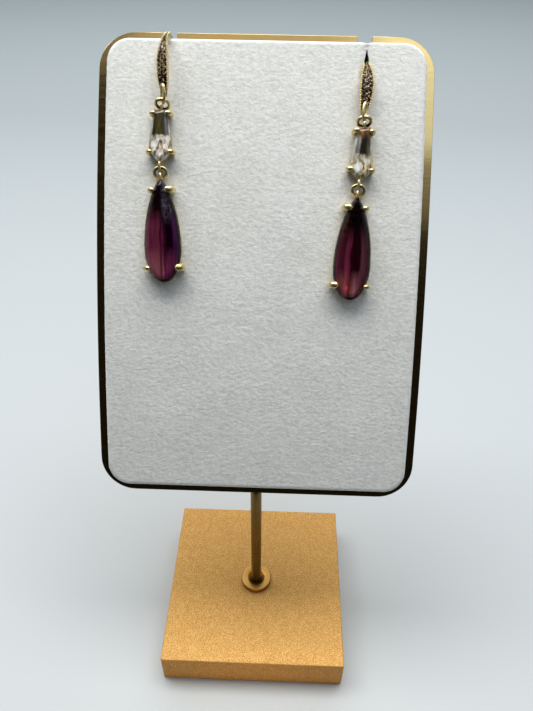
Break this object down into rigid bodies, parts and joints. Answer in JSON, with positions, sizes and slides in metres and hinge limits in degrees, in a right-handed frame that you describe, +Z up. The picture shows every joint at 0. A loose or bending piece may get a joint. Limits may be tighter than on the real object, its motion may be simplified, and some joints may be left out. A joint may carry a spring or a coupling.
{
  "type": "pair of drop earrings on a display stand",
  "caption": "Long drop earrings with stone-set hooks and pear-shaped stones, hung on a leaning padded display panel on a post and a square foot.",
  "frame": {"origin": "centre of the foot's underside, on the surface that the stand rests on", "axes": "+Z up, the panel and the earrings face -Y and lean back towards +Y, +X to the right as seen from the front"},
  "size_m": [0.0776, 0.0839, 0.1486],
  "materials": {
    "base_gold": "matte gold paint with a fine metallic sparkle on solid steel",
    "post_bronze": "brushed, dark gold plated",
    "plate_gold": "brushed gold plated sheet",
    "pad_suede": "off-white microsuede over a light board and foam",
    "jewel_gold": "polished light gold",
    "clear_stone": "polished facets, clear with smoky depths",
    "purple_stone": "polished facets, deep plum"
  },
  "bodies": {
    "root": {"base_block": "base_gold", "post_collar": "base_gold", "post": "post_bronze", "back_plate": "plate_gold", "display_pad": "pad_suede", "left_ear_hook": "jewel_gold", "left_upper_ring": "jewel_gold", "left_clear_setting": "jewel_gold", "left_clear_stone": "clear_stone", "left_lower_ring": "jewel_gold", "left_purple_setting": "jewel_gold", "left_purple_stone": "purple_stone", "right_ear_hook": "jewel_gold", "right_upper_ring": "jewel_gold", "right_clear_setting": "jewel_gold", "right_clear_stone": "clear_stone", "right_lower_ring": "jewel_gold", "right_purple_setting": "jewel_gold", "right_purple_stone": "purple_stone"}
  },
  "joints": []
}
